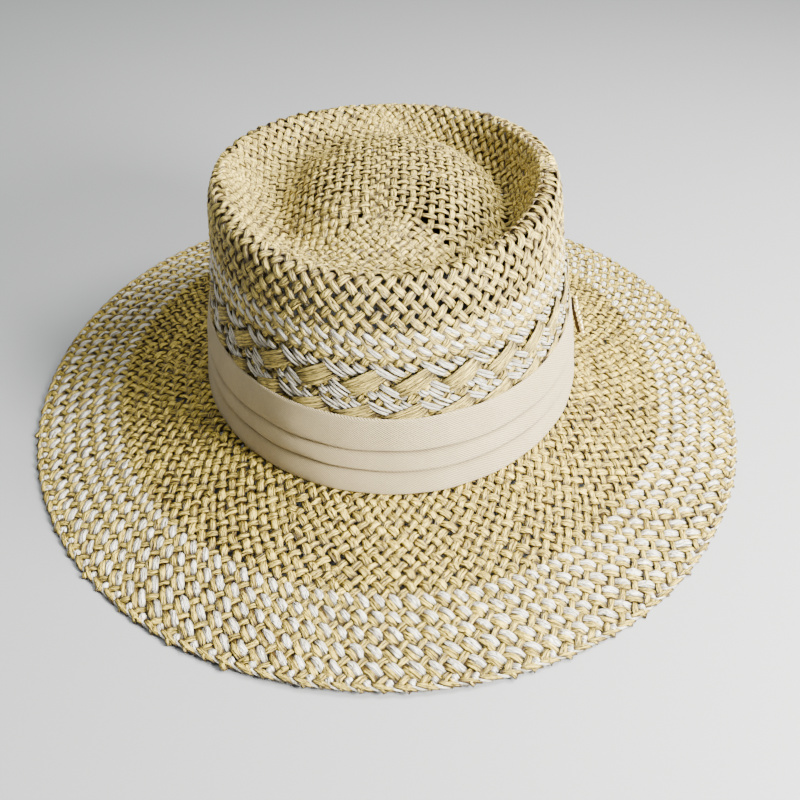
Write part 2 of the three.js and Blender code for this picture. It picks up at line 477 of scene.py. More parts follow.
def closeTree(graph, wire, material):
    wire = graph.add("GeometryNodeSetMaterial", {}, {"Geometry": wire, "Material": material})
    wire = graph.add("GeometryNodeRealizeInstances", {}, {"Geometry": wire})
    graph.add("NodeGroupOutput", {}, {0: wire})


def runTree(piece, tree, values):
    # the tree's result as the piece's own plain mesh
    modifier = piece.modifiers.new(tree.name, "NODES")
    modifier.node_group = tree
    for item in tree.interface.items_tree:
        if item.item_type == "SOCKET" and item.in_out == "INPUT" and item.name in values:
            modifier[item.identifier] = values[item.name]
    ready = piece.evaluated_get(bpy.context.evaluated_depsgraph_get())
    mesh = bpy.data.meshes.new_from_object(ready)
    paths = piece.data
    piece.modifiers.remove(modifier)
    piece.data = mesh
    bpy.data.meshes.remove(paths)
    mesh.name = piece.name


def ribbonTree():
    tree, graph, given = geometryTree("ribbon along paths", [
        ("Sides", "NodeSocketInt", 6),
        ("Flatness", "NodeSocketFloat", 0.3),
        ("Straw", "NodeSocketMaterial", None),
    ])

    def named(name, kind="FLOAT"):
        return graph.add("GeometryNodeInputNamedAttribute", {"data_type": kind}, {"Name": name})

    def store(geometry, name, value):
        settings = {"data_type": "FLOAT", "domain": "POINT"}
        sockets = {"Geometry": geometry, "Name": name, "Value": value}
        return graph.add("GeometryNodeStoreNamedAttribute", settings, sockets)

    path = graph.add("GeometryNodeMeshToCurve", {}, {"Mesh": given["Geometry"]})
    facing = named("facing", "FLOAT_VECTOR")
    path = graph.add("GeometryNodeSetCurveNormal", {"mode": "FREE"}, {"Curve": path, "Normal": facing})
    path = store(path, "along", graph.add("GeometryNodeSplineParameter", output=1))
    ring = graph.add("GeometryNodeCurvePrimitiveCircle", {}, {"Resolution": given["Sides"], "Radius": 0.5})
    depth, across, _ = graph.parts(graph.add("GeometryNodeInputPosition"))
    ring = store(ring, "across", across * 2)
    # mask of the ribbon's back, where the straw material paints shade
    ring = store(ring, "inner", (depth * -2).clamped())  # 1 on the ribbon's back
    flattened = graph.vector(depth * given["Flatness"], across, 0.0)
    ring = graph.add("GeometryNodeSetPosition", {}, {"Geometry": ring, "Position": flattened})
    sockets = {"Curve": path, "Profile Curve": ring, "Scale": named("width"), "Fill Caps": True}
    skin = graph.add("GeometryNodeCurveToMesh", {}, sockets)
    skin = graph.add("GeometryNodeSetShadeSmooth", {}, {"Geometry": skin, "Shade Smooth": True})
    closeTree(graph, skin, given["Straw"])
    return tree


strandTree = ribbonTree()
unevenWidth = 0.06  # spread of the strands' widths, as a share
shadeSpread = 0.5  # spread of their shades


def weaveStrand(points, normals, signs, rows, look, rng, steps, side):
    # A woven strand through its crossings. A sign says which side of the net it is on at a crossing, and
    # side how far it keeps to one side of it.
    curve = throughPoints(points, steps)
    normal = unit(stepsBetween(normals, steps))
    lift = stepsBetween(signs.astype(float), steps, eased=True)
    sideways = sidewaysOf(curve, normal)
    wander = stepsBetween(rng.normal(0, look["wander"], len(points)), steps, eased=True)
    roll = stepsBetween(rng.normal(0, look["roll"], len(points)), steps, eased=True)
    offset = stepsBetween(side, steps)
    curve = curve + normal * (lift * look["lift"])[:, None] + sideways * (wander + offset)[:, None]
    width = look["width"] * (1 + look["plump"] * lift)
    width = width * (1 + rng.normal(0, unevenWidth, len(width)))
    facing = unit(normal + sideways * roll[:, None])
    return [curve, facing, width, lift], stepsBetween(rows.astype(float), steps)


strawLook = {
    "tanDark": rgb(66, 48, 8),
    "tanLight": rgb(248, 218, 94),
    "whiteDark": rgb(116, 106, 80),
    "whiteLight": rgb(255, 248, 228),
    # how fine the grain is across a strand, along it, and from strand to strand
    "fibre": (4, 320, 61),
    "crumple": (1.5, 170, 97),
    "toneStart": -1.16,
    "toneOf": {
        "fibre": 2.1, "ridge": 0.5, "fold": 0.4, "shade": 0.14,
        # the first three weights below paint shade: under neighbouring strands, on a ribbon's sides and on
        # its back
        "paintedShadeUnder": -1.0, "side": -0.7, "inner": -0.8, "bleach": 0.3,
    },
    "creaseDepth": 0.0012,
    "roughness": 0.3,
    "fibreRoughness": 0.3,
}


def strawMaterial(name, look):
    material, graph = newMaterial(name)
    across, along, bleach, shade, lift, inner = (
        graph.attribute(layer) for layer in ("across", "along", "bleach", "shade", "lift", "inner")
    )

    def grain(scales, detail, roughness):
        scaled = [wire * scale for wire, scale in zip((across, along, shade), scales)]
        return graph.noise(graph.vector(*scaled), 1.0, detail, roughness)

    fibre = grain(look["fibre"], 3.0, 0.65)
    crumple = grain(look["crumple"], 1.5, 0.45)
    # ridge and fold mark the creases; the tone below paints shade along them, and ridge also shapes the bump
    ridge = ((crumple - 0.5).size() * 9).clamped()  # 0 along the creases, which wander lengthwise
    fold = ((across * 1.4 + crumple * 3 + shade * 13).sine().size() * 2.2).clamped()
    tones = {
        "fibre": fibre,
        # painted shade in the creases and folds
        "ridge": ridge,
        "fold": fold,
        "shade": shade,
        # painted shade where the strand goes down between its neighbours
        "paintedShadeUnder": ((1 - lift) * 0.5) ** 2,  # where the strand goes down between its neighbours
        # painted shade along the ribbon's sides
        "side": across.size() ** 5,
        # painted shade on the ribbon's back, which darkens the inside of the hat
        "inner": inner,
        "bleach": bleach,
    }
    tone = sum((tones[part] * weight for part, weight in look["toneOf"].items()), look["toneStart"]).clamped()
    tan = graph.blend(tone, look["tanDark"], look["tanLight"])
    white = graph.blend(tone, look["whiteDark"], look["whiteLight"])
    height = ridge * 0.5 + fold * 0.5 + fibre * 0.5
    finishMaterial(
        graph,
        Base_Color=graph.blend(bleach, tan, white),
        Roughness=(fibre * look["fibreRoughness"] + look["roughness"]).clamped(),
        Specular_IOR_Level=0.5,
        Normal=graph.bump(height, look["creaseDepth"]),
    )
    return material


strawSkin = strawMaterial("paperStraw", strawLook)

pieces = []


def addPiece(piece, node):
    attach(piece, "root")
    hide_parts(node)
    pieces.append(piece)


crownWeave = {
    "round": 84,  # strands of each family round the wall
    "foldRows": 21,  # rows in which four strands turn back
    "spineRows": 11,  # rows until the front fold splits into two
    "wallRow": 35,  # first row that lies level round the wall
    "wallSection": 3.4,  # sections up at which that row starts, before the net settles
    "upperPairs": 36,  # upper row of white and natural pairs
    "lowerPairs": 38,
    "pairHeight": 64.3,  # of the lower pairs, along the wall from the break
    "pairSide": 1.15,  # how far the two of a pair keep from their middle
    "rowGap": 2.95,
    "skew": 0.1,  # how much further right than left the strands run down the wall, in columns a row
    "lastRow": 59,
    "lastHeight": 0.4,  # lowest place of a row, along the wall from the break
    "oval": (80.0, 96.5),  # round which the columns are spaced evenly
    "splits": [("crown_tip", -1, 27), ("crown_rim", 27, 41), ("crown_wall", 41, 99)],  # first and last row
    "steps": 4,
    "sides": 6,
    "flatness": 0.32,
    "wobble": 0.26,
    "spineGap": 1.05,
    "spineWidth": 0.7,
    "sink": 0.55,
    "tipWidth": 0.92,
    "rimGain": 0.16,  # how much wider the strands are past the rim's first row
    "rimRow": 14,
    "wallFrom": 23,
    "openness": 0.04,
    "openTurn": (-62, 60),  # middle of the turn, and reach to each side, in degrees
    "tightness": 0.26,
    "tightTurn": (-5, 75),
    "tightSpots": [(-17.0, -30.0), (-26.0, -38.0)],  # beside the fork at the front of the dome
    "spotGain": 0.35,
    "spotSize": 150.0,
    "bleach": 0.07,  # crown straw is a little paler than the brim's
}
ribbonLook = {"width": 3.15, "lift": 0.5, "wander": 0.14, "roll": 0.16, "plump": 0.07}
wallColumns = 96


def wallTable():
    # length along the wall from the break, at 96 angles and every twentieth of a section
    angles = np.linspace(0, 2 * np.pi, wallColumns + 1)
    along = np.linspace(0, 6, 121)
    grid = crownPoint(along[:, None] + 0 * angles[None], angles[None] + 0 * along[:, None])
    steps = np.linalg.norm(np.diff(grid, axis=0), axis=-1)
    return along, np.concatenate([np.zeros((1, wallColumns + 1)), np.cumsum(steps, 0)])


wallAlong, wallLength = wallTable()


def wallFlat(length, angle):
    # chart place on the crown's wall at a length from the break
    angle = np.asarray(angle, float) % (2 * np.pi)
    length = np.broadcast_to(length, angle.shape)
    column = angle / (2 * np.pi) * wallColumns
    low = np.floor(column).astype(int) % wallColumns
    part = column - np.floor(column)
    found = np.empty(angle.shape)
    for i in np.ndindex(angle.shape):
        first = np.interp(length[i], wallLength[:, low[i]], wallAlong)
        second = np.interp(length[i], wallLength[:, low[i] + 1], wallAlong)
        found[i] = first + (second - first) * part[i]
    return chartPlace(middleSection - found, angle)


def rowLength(row):
    return crownWeave["pairHeight"] + (crownWeave["lowerPairs"] - row) * crownWeave["rowGap"]


def crownNet():
    weave = crownWeave
    folds = {}
    for row in range(weave["foldRows"]):
        apart = max(row - weave["spineRows"] + 1, 0) / (8 * row + 8)
        folds[row] = [0.0, 0.25, 0.5, 0.75 + apart * (-1) ** row]
    net = Net([], folds, weave["lastRow"])
    start = weave["wallRow"]
    first = np.flatnonzero(net.row == start)
    shift = np.mean(net.fraction[first] - np.arange(len(first)) / weave["round"])
    flat = np.zeros((len(net.row), 2))
    for row in range(1, weave["lastRow"] + 1):
        those = np.flatnonzero(net.row == row)
        if row < start:
            radius = (middleSection - weave["wallSection"]) * row / start
            flat[those] = chartPlace(radius, 2 * np.pi * net.fraction[those])
        else:
            slide = (0.5 + weave["skew"]) * (row - start)
            net.fraction[those] = shift + (np.arange(len(those)) + slide) / weave["round"]
            angle = evenAngle(net.fraction[those], *weave["oval"])
            flat[those] = wallFlat(max(rowLength(row), weave["lastHeight"]), angle)
    return net, relax(crownChart, flat, net, np.flatnonzero(net.row < start))


def netPlaces(chart, flat, wobble, rng):
    here, normal, first = surfaceAt(chart, flat)
    second = np.cross(normal, first)
    sway = rng.normal(0, wobble, (len(here), 2))
    return here + first * sway[:, :1] + second * sway[:, 1:], normal


def pairOffset(rows):
    # natural ribbons move aside for the white ones in the pair rows
    middle = (crownWeave["upperPairs"] + crownWeave["lowerPairs"]) / 2
    return -crownWeave["pairSide"] * np.clip(2.0 - np.abs(rows - middle), 0, 1)


def crownWidths(curve, rowAt):
    # how wide the strands are from place to place, as a share
    weave = crownWeave
    share = weave["tipWidth"] + weave["rimGain"] * np.clip((rowAt - weave["rimRow"]) / 3, 0, 1)
    # the weave is opener at the front right of the upper wall, and tight from there round to the right
    turned = np.arctan2(curve[:, 1], curve[:, 0])
    onWall = np.clip((rowAt - weave["wallFrom"]) / 2, 0, 1)
    onWall = onWall * np.clip((weave["wallRow"] + 2 - rowAt) / 2, 0, 1)
    share = share * (1 - weave["openness"] * onWall * windowShare(turned, *weave["openTurn"]))
    share = share * (1 + weave["tightness"] * onWall * windowShare(turned, *weave["tightTurn"]))
    for x, y in weave["tightSpots"]:
        away = (curve[:, 0] - x) ** 2 + (curve[:, 1] - y) ** 2
        share = share * (1 + weave["spotGain"] * np.exp(-away / weave["spotSize"]))
    return share


print("crown: net")
net, flat = crownNet()
rng = np.random.default_rng(11)
weave, steps = crownWeave, crownWeave["steps"]
places, normals = netPlaces(crownChart, flat, weave["wobble"], rng)
sink = np.clip((net.row - weave["lowerPairs"] - 0.5) / 1.5, 0, 1)  # the net lies deeper under the pattern
places = places - normals * (weave["sink"] * sink)[:, None]
crownPieces = [Strands(name) for name, low, high in weave["splits"]]
for order, (numbers, family) in enumerate(net.fullStrands()):
    rows = net.row[numbers]
    signs = np.where(rows % 2 == 0, 1.0, -1.0) * family
    side = np.where(family > 0, pairOffset(rows), 0.0)
    spine = np.zeros(len(rows))
    if order in (2, 6):  # the two strands that are doubled along the middle of the dome
        spine = np.clip((weave["spineRows"] + np.where(family < 0, 1.0, 7.0) - rows) / 3, 0, 1)
        side = side - weave["spineGap"] * spine
    woven, rowAt = weaveStrand(places[numbers], normals[numbers], signs, rows, ribbonLook, rng, steps, side)
    narrowed = 1 - (1 - weave["spineWidth"]) * stepsBetween(spine, steps)
    woven[2] = woven[2] * narrowed * crownWidths(woven[0], rowAt)
    shade = rng.normal(0, shadeSpread)
    for (name, low, high), strands in zip(weave["splits"], crownPieces):
        inside = (rowAt >= low) & (rowAt <= high)
        ends = np.flatnonzero(np.diff(np.concatenate([[0], inside.astype(int), [0]])))
        for start, end in zip(ends[::2], ends[1::2]):
            strands.add(woven, weave["bleach"], shade, slice(start, end))
    if spine.any():
        those = np.flatnonzero(spine > 0)
        crossings = places[numbers[those]], normals[numbers[those]], -signs[those], rows[those]
        woven, rowAt = weaveStrand(*crossings, ribbonLook, rng, steps, weave["spineGap"] * spine[those])
        woven[2] = woven[2] * weave["spineWidth"]
        crownPieces[0].add(woven, weave["bleach"], rng.normal(0, shadeSpread))
for strands in crownPieces:
    addPiece(strands.sweep(strawSkin, weave["sides"], weave["flatness"]), "crown")

# The pattern above the band: kind, then column and drop at the strand's start and at its end. Columns are
# those of the weave, and drops are millimetres below the lower row of pairs.
patternMotifs = [
    ("float", 0.00, 3.9, 1.60, 10.8),
    ("float", 1.00, 4.0, 2.20, 9.1),
    ("float", 2.00, 4.1, 2.75, 7.3),
    ("strip", 1.15, 17.1, 3.85, 7.4),
    ("float", 0.40, 12.5, 2.10, 19.5),
    ("float", 0.30, 15.9, 1.30, 20.9),
    ("float", -0.25, 16.0, 0.35, 19.0),
    ("cord", -0.80, 22.7, -0.10, 18.2),
    ("cord", 1.20, 23.0, 1.75, 19.4),
    ("float", -0.40, 20.7, 1.30, 26.5),
    ("float", 0.60, 20.1, 1.95, 25.5),
    ("float", 1.60, 20.5, 2.35, 23.9),
    ("strip", 0.60, 30.4, 3.30, 23.6),
]
patternLook = {
    "period": 3,  # columns until the pattern repeats
    "float": {"width": 1.45, "height": 1.4, "bleach": 1.0, "count": 2, "gap": 1.5, "pinch": 0.65},
    "strip": {"width": 1.9, "height": 2.0, "bleach": 0.1, "count": 5, "gap": 1.42, "pinch": 0.85},
    "cord": {"width": 2.3, "height": 0.9, "bleach": 0.1, "count": 1, "gap": 0.0, "pinch": 1.0},
    "endDepth": 0.35,  # how deep a strand's ends lie in the net
    "taper": 0.25,
    "steps": 9,
    "sides": 6,
    "flatness": 0.42,
}
pairLook = {"reach": 0.86, "width": 2.6, "height": 1.05, "endDepth": 0.45}


def wallLine(column, length, offset, height):
    # points of a line laid on the wall, with offsets to its side and heights above the net
    fraction = shiftOfColumns + column / crownWeave["round"]
    here, normal, _ = surfaceAt(crownChart, wallFlat(length, evenAngle(fraction, *crownWeave["oval"])))
    return here + sidewaysOf(here, normal) * offset[:, None] + normal * height[:, None], normal


print("crown: pattern")
upperPairs = weave["upperPairs"]
shiftOfColumns = net.fraction[np.flatnonzero(net.row == upperPairs)[0]] + 1 / weave["round"]
rng = np.random.default_rng(12)
pattern, whites = Strands("crown_pattern"), Strands("crown_pairs")
share = np.linspace(0, 1, patternLook["steps"])
arch = np.sin(np.pi * share)
lift = arch * 2 - 1
tapered = 1 - patternLook["taper"] + patternLook["taper"] * arch
for period in range(weave["round"] // patternLook["period"]):
    for kind, startColumn, startDrop, endColumn, endDrop in patternMotifs:
        look = patternLook[kind]
        column = period * patternLook["period"] + startColumn + (endColumn - startColumn) * share
        drop = startDrop + (endDrop - startDrop) * share
        pinch = look["pinch"] + (1 - look["pinch"]) * arch
        bow = look["height"] * arch**0.6 - patternLook["endDepth"]
        for strand in range(look["count"]):
            across = (strand - (look["count"] - 1) / 2) * look["gap"]
            curve, normal = wallLine(
                column + rng.normal(0, 0.03),
                weave["pairHeight"] - drop + rng.normal(0, 0.15),
                across * pinch + rng.normal(0, 0.08),
                bow + rng.normal(0, 0.06),
            )
            width = look["width"] * tapered * (1 + rng.normal(0, unevenWidth))
            pattern.add((curve, normal, width, lift), look["bleach"], rng.normal(0, shadeSpread))
along = (share - 0.5) * pairLook["reach"]
for row in (upperPairs, weave["lowerPairs"]):
    for number in np.flatnonzero(net.row == row):
        curve, normal = wallLine(
            (net.fraction[number] - shiftOfColumns) * weave["round"] + along * (1 + 2 * weave["skew"]),
            rowLength(row) - along * 2 * weave["rowGap"],
            weave["pairSide"] + 0 * share,
            pairLook["height"] * arch**0.7 - pairLook["endDepth"] + rng.normal(0, 0.05),
        )
        whites.add((curve, normal, pairLook["width"] * tapered, lift), 1.0, rng.normal(0, shadeSpread))
for strands in (pattern, whites):
    addPiece(strands.sweep(strawSkin, patternLook["sides"], patternLook["flatness"]), "crown")

brimWeave = {
    "firstRound": 112,  # strands of each family at the crown
    "lastRound": 140,  # and at the edge
    "innerRows": 15,
    "outerRows": 10,
    "startShare": -0.035,  # of the way from the land to the edge
    "innerShare": 0.53,
    "edgeShare": 0.95,
    "oval": (150.0, 167.0),  # round which the strands are spaced evenly
    "rounds": 200,
    "steps": 4,
    "wobble": 0.25,
    # how far past its last crossing a strand is at its rise and at its turn down, and how high it is there
    "turns": {1: ((0.5, 0.8), (0.95, -0.6)), -1: ((0.4, 0.66), (0.2, -1.0))},
}
brimLooks = {
    "innerRibbon": {"width": 3.75, "lift": 0.58, "wander": 0.2, "roll": 0.16, "plump": 0.1},
    "innerCord": {"width": 3.35, "lift": 0.58, "wander": 0.18, "roll": 0.2, "plump": 0.05},
    "outerRibbon": {"width": 3.1, "lift": 0.6, "wander": 0.1, "roll": 0.14, "plump": 0.16},
    "outerCord": {"width": 2.7, "lift": 0.6, "wander": 0.1, "roll": 0.16, "plump": 0.1},
    "pairGap": 1.35,
}
edgeLook = {
    "steps": 8,
    "past": 0.034,  # how far past the last row the strands lie, as a share of the brim
    "slant": 0.0105,
    "bow": 0.004,
    "reach": 0.55,  # half of a strand's length, in gaps between crossings
    "width": 2.4,
    "whiteThinner": 0.5,
    "whiteDeeper": 0.45,
}
split, lastRow = brimWeave["innerRows"], brimWeave["innerRows"] + brimWeave["outerRows"]


def brimShare(row):
    weave = brimWeave
    if row <= split:
        return weave["startShare"] + (weave["innerShare"] - weave["startShare"]) * row / split
    outward = (row - split) / weave["outerRows"]
    return weave["innerShare"] + (weave["edgeShare"] - weave["innerShare"]) * outward


def brimNet():
    weave = brimWeave
    extra = weave["lastRound"] - weave["firstRound"]
    folds = {}
    for i in range(extra):  # the new strands start in every row, spread round by the golden ratio
        folds.setdefault(i * (split - 1) // extra, []).append((i * 0.618034 + 0.13) % 1)
    net = Net(np.arange(weave["firstRound"]) / weave["firstRound"], folds, lastRow)
    place = net.fraction.copy()
    moving = np.flatnonzero((net.row > 0) & (net.row <= split + 4))
    table = net.neighboursOf(moving)
    for _ in range(weave["rounds"]):
        here = place[moving][:, None]
        place[moving] = (here + (place[table] - here + 0.5) % 1 - 0.5).mean(1)
    share = np.array([brimShare(row) for row in net.row])
    return net, chartPlace(1 + share, evenAngle(place, *weave["oval"]))


def outerShare(rows):
    # 0 in the inner half of the brim and 1 in the outer half
    return np.clip((rows - split + 1.0) / 1.5, 0, 1)


def overEdge(half, *path):
    # adds a rise past a strand's last crossing and the turn down over the brim's edge
    reach, lifts = brimWeave["turns"][half]
    places, normals, signs, rows = (part[::half] for part in path)
    if rows[-1] == lastRow:
        step = places[-1] - places[-2]
        places = np.concatenate([places, places[-1] + np.outer(reach, step)])
        normals = np.concatenate([normals, normals[-1:], normals[-1:]])
        signs = np.concatenate([signs, lifts])
        rows = np.concatenate([rows, rows[-1] + np.array(reach)])
    return [part[::half] for part in (places, normals, signs, rows)]


print("brim: net")
net, flat = brimNet()
rng = np.random.default_rng(21)
places, normals = netPlaces(brimChart, flat, brimWeave["wobble"], rng)
innerA, innerB = Strands("brim_inner_ribbons"), Strands("brim_inner_cords")
outerA, outerB = Strands("brim_outer_ribbons"), Strands("brim_outer_cords")
outerWhite = Strands("brim_outer_whites")
steps, pairGap = brimWeave["steps"], brimLooks["pairGap"]
brimHalves = {
    1: (brimLooks["innerRibbon"], brimLooks["outerRibbon"], innerA, outerA, -pairGap),
    -1: (brimLooks["innerCord"], brimLooks["outerCord"], innerB, outerB, 0.0),
}
for numbers, family in net.fullStrands():
    rows = net.row[numbers]
    signs = np.where((rows + split) % 2 == 1, 1.0, -1.0) * family
    crossings = places[numbers], normals[numbers], signs, rows
    shade = rng.normal(0, shadeSpread)
    for half, (inner, outer, innerPiece, outerPiece, gap) in brimHalves.items():
        those = np.flatnonzero(family == half)
        if len(those) == 0:
            continue
        both = np.arange(max(those[0] - (half == 1), 0), min(those[-1] + 1 + (half == -1), len(numbers)))
        if len(both) < 2:
            continue
        path = overEdge(half, *(part[both] for part in crossings))
        woven, rowAt = weaveStrand(*path, inner, rng, steps, outerShare(path[3]) * gap)
        woven[2] = woven[2] * (1 + (outer["width"] / inner["width"] - 1) * outerShare(rowAt))
        innerPiece.add(woven, 0.0, shade, np.flatnonzero(rowAt <= split))
        outerPiece.add(woven, 0.0, shade, np.flatnonzero(rowAt >= split))
        there = both[rows[both] >= split]
        if half == 1 and len(there) > 1:
            path = overEdge(half, *(part[there] for part in crossings))
            woven, rowAt = weaveStrand(*path, outer, rng, steps, pairGap + 0 * path[3])
            outerWhite.add(woven, 1.0, rng.normal(0, shadeSpread))

print("brim: edge")  # slanted strands along it, a natural and a white one to each crossing
edgeTans, edgeWhites = Strands("brim_edge"), Strands("brim_edge_whites")
lastOnes = np.flatnonzero(net.row == lastRow)
share = np.linspace(-1, 1, edgeLook["steps"])
radius = brimWeave["edgeShare"] + edgeLook["past"] + 1
radius = radius + edgeLook["slant"] * share - edgeLook["bow"] * share**2
for number, after in zip(lastOnes, np.roll(lastOnes, -1)):
    for start, bleach, strands in ((0.1, 0.0, edgeTans), (0.6, 1.0, edgeWhites)):
        between = (start + edgeLook["reach"] * share)[:, None]
        direction = unit(flat[number] + (flat[after] - flat[number]) * between)
        here, normal, _ = surfaceAt(brimChart, direction * (radius + rng.normal(0, 0.001))[:, None])
        height = 0.15 - 0.55 * share**2 - 0.3 * share - edgeLook["whiteDeeper"] * bleach
        width = (edgeLook["width"] - edgeLook["whiteThinner"] * bleach) * (0.8 + 0.2 * np.cos(share * 1.5))
        woven = here + normal * height[:, None], normal, width, 1 - 2 * share**2
        strands.add(woven, bleach, rng.normal(0, shadeSpread))

for strands, sides, flatness in (
    (innerA, 6, 0.38), (innerB, 5, 0.44), (outerA, 6, 0.42), (outerWhite, 6, 0.42), (outerB, 5, 0.44),
    (edgeTans, 6, 0.5), (edgeWhites, 6, 0.5),
):
    addPiece(strands.sweep(strawSkin, sides, flatness), "brim")

bandLook = {
    "columns": 256,
    "thickness": 0.42,
    "light": rgb(202, 184, 140),
    "dark": rgb(150, 132, 92),
    # painted shade in the pleats, where a fold is tucked under the one over it
    "tucked": rgb(62, 46, 24),
    "twill": 0.00115,
    "thread": 2.6,  # threads to each twill line
    "shiftWaves": (3, 5, 8, 13, 19),
    "shift": 0.00385,  # how far the pleats wander up and down, as a share of the band's height
    "puffWaves": (3, 5, 9, 14, 23),
    "puff": 0.1,
    "proud": 2.6,  # from this offset outwards the cloth puffs fully
    "tuckedPuff": 0.3,
    "pleatEdges": (15, 29),  # the folds that hang over the ones before them
    "tuckReach": 0.06,
    "tuckAbove": 0.07,
}
# share of the band's height, and distance from the middle of the wall, up the cloth's folds
bandFolds = [
    (0.012, 1.9), (0.0, 2.4), (0.0, 3.05), (0.02, 3.42), (0.08, 3.5), (0.16, 3.34), (0.23, 2.98),
    (0.28, 2.55), (0.32, 2.1), (0.355, 1.85), (0.39, 1.78), (0.405, 1.95), (0.39, 2.2), (0.365, 2.4),
    (0.345, 2.6), (0.333, 2.9), (0.333, 3.25), (0.352, 3.42), (0.40, 3.4), (0.46, 3.2), (0.51, 2.85),
    (0.55, 2.42), (0.59, 2.0), (0.625, 1.8), (0.655, 1.75), (0.67, 1.92), (0.655, 2.12), (0.63, 2.3),
    (0.612, 2.45), (0.60, 2.75), (0.60, 3.08), (0.618, 3.24), (0.68, 3.2), (0.76, 3.02), (0.84, 2.8),
    (0.91, 2.6), (0.96, 2.48), (0.99, 2.34), (1.003, 2.12), (0.995, 1.9), (0.965, 1.8), (0.90, 1.75),
    (0.84, 1.72),
]


def ripple(angle, seed, waves, size):
    rng = np.random.default_rng(seed)
    total = 0 * angle
    for wave in waves:
        total = total + np.sin(wave * angle + rng.uniform(0, 6.28)) * rng.uniform(0.5, 1.0)
    return total * size


def bandMesh():
    look, foot, count = bandLook, hatForm["bandFootHeight"], bandLook["columns"]
    angle = np.arange(count) / count * 2 * np.pi
    points = []
    for share, offset in bandFolds:
        shift = ripple(angle, int(share * 9), look["shiftWaves"], look["shift"]) * min(1, 8 * share)
        height = foot + (bandTopAt(angle) - foot) * (share + shift)
        puff = ripple(angle, 5 + int(share * 3), look["puffWaves"], look["puff"])
        puff = puff * (1 if offset > look["proud"] else look["tuckedPuff"])
        points.append(wallPoint(height, angle, offset + puff))
    points = np.array(points)
    steps = np.linalg.norm(np.diff(points, axis=0), axis=-1).mean(1)
    widthUp = np.concatenate([[0], np.cumsum(steps)])
    around = np.linalg.norm(np.diff(points[3], axis=0, append=points[3][:1]), axis=-1)
    length = np.concatenate([[0], np.cumsum(around)])
    faces = ringFaces(len(bandFolds), count)
    mesh = newMesh("hat_band_cloth", points, numbered(faces, count))
    flat = [(length[column], widthUp[ring]) for corners in faces for column, ring in corners]
    layer = mesh.uv_layers.new(name="cloth")
    layer.data.foreach_set("uv", (np.array(flat) * mm).astype(np.float32).ravel())
    mesh.shade_smooth()
    # how far each fold is tucked in behind the one over it, for the shade in the pleats
    shares = [share for share, offset in bandFolds]
    tuck = [
        max([0.0] + [
            1 - abs(share - shares[i]) / look["tuckReach"]
            for i in look["pleatEdges"] if place < i and share < shares[i] + look["tuckAbove"]
        ])
        for place, share in enumerate(shares)
    ]
    layer = mesh.attributes.new("tuck", "FLOAT", "POINT")
    layer.data.foreach_set("value", np.repeat(tuck, count).astype(np.float32))
    return mesh, length[-1] * mm, widthUp[-1] * mm


def clothMaterial(name, look):
    material, graph = newMaterial(name)
    place = graph.add("ShaderNodeUVMap", {"uv_map": "cloth"})
    u, v, _ = graph.parts(place)
    turn = 2 * np.pi / look["twill"]
    jitter = graph.noise(place, 900.0)
    twill = ((u * 0.8 + v * 1.2) * turn + jitter * 2.5).sine()
    thread = ((u - v * 0.5) * (turn * look["thread"])).sine()
    slub = graph.noise(graph.vector(u * 400, v * 2200, 0.0))
    cloud = graph.noise(place, 60.0)
    # painted shade in the pleats' tucks, laid over the cloth's colour
    tuck = (graph.attribute("tuck") * (graph.noise(place, 22.0, 1.0) + 0.75)).clamped()
    tone = (twill * 0.42 + thread * 0.08 + slub * 0.7 + cloud * 0.5 - 0.1).clamped()
    height = twill * 0.7 + thread * 0.25 + slub * 0.5
    finishMaterial(
        graph,
        Base_Color=graph.blend(tuck, graph.blend(tone, look["dark"], look["light"]), look["tucked"]),
        Roughness=0.85,
        Specular_IOR_Level=0.25,
        Sheen_Weight=0.25,
        Sheen_Roughness=0.5,
        Normal=graph.bump(height, 0.0002, 0.9),
    )
    return material


print("band")
clothMesh, bandLength, bandWidth = bandMesh()
bandPiece = newObject("hat_band_cloth", clothMesh)
clothMesh.materials.append(clothMaterial("cottonTwill", bandLook))
solid = bandPiece.modifiers.new("thickness", "SOLIDIFY")
solid.thickness = bandLook["thickness"] * mm
solid.offset = 0.0
addPiece(bandPiece, "hat_band")

plaqueLook = {
    "width": 11.0,
    "height": 15.5,
    "topDrop": 5.2,
    "angle": -3.5,
    "seat": 2.5,
    "lean": 3.0,  # how much further its foot stands out than its top
    # inset from its side, and height over its back, up the raised frame and down to the plate
    "frame": [(0.9, 0.0), (0.9, 1.3), (1.1, 1.6), (1.6, 1.6), (1.8, 1.5), (1.9, 0.6)],
    "stepsPerSide": 8,
    "beadsAcross": 4,
    "beadsUp": 6,
    "beadRadius": 1.06,
    "beadInset": 1.1,
    "beadHeight": 1.2,
    "frameBeadHeight": 2.6,
    "metal": rgb(255, 244, 190),
    "metalDark": rgb(224, 196, 118),
    # the plate's dark bronze, made darker to paint the shade in the gaps between the beads
    "plateMetal": rgb(66, 50, 30),
    "plateDark": rgb(40, 28, 16),
}


def plaqueSpot(across, up, height):
    # place on the plaque, across and up from its middle and a height over its back
    look = plaqueLook
    angle = np.radians(look["angle"]) + across / crownSections[0][1]
    top = bandTopAt(np.radians(look["angle"])) - look["topDrop"]
    offset = look["seat"] + height + look["lean"] * (0.5 - up / look["height"])
    return wallPoint(top - look["height"] / 2 + up, angle, offset)


def metalMaterial(name, light, dark):
    material, graph = newMaterial(name)
    place = graph.add("ShaderNodeTexCoord", output=3)
    cloud = graph.noise(place, 500.0, 3.0)
    finishMaterial(
        graph,
        Base_Color=graph.blend(cloud, light, dark),
        Metallic=0.9,
        Roughness=(cloud * 0.3 + 0.2).clamped(),
        Normal=graph.bump(cloud, 0.00005, 0.4),
    )
    return material


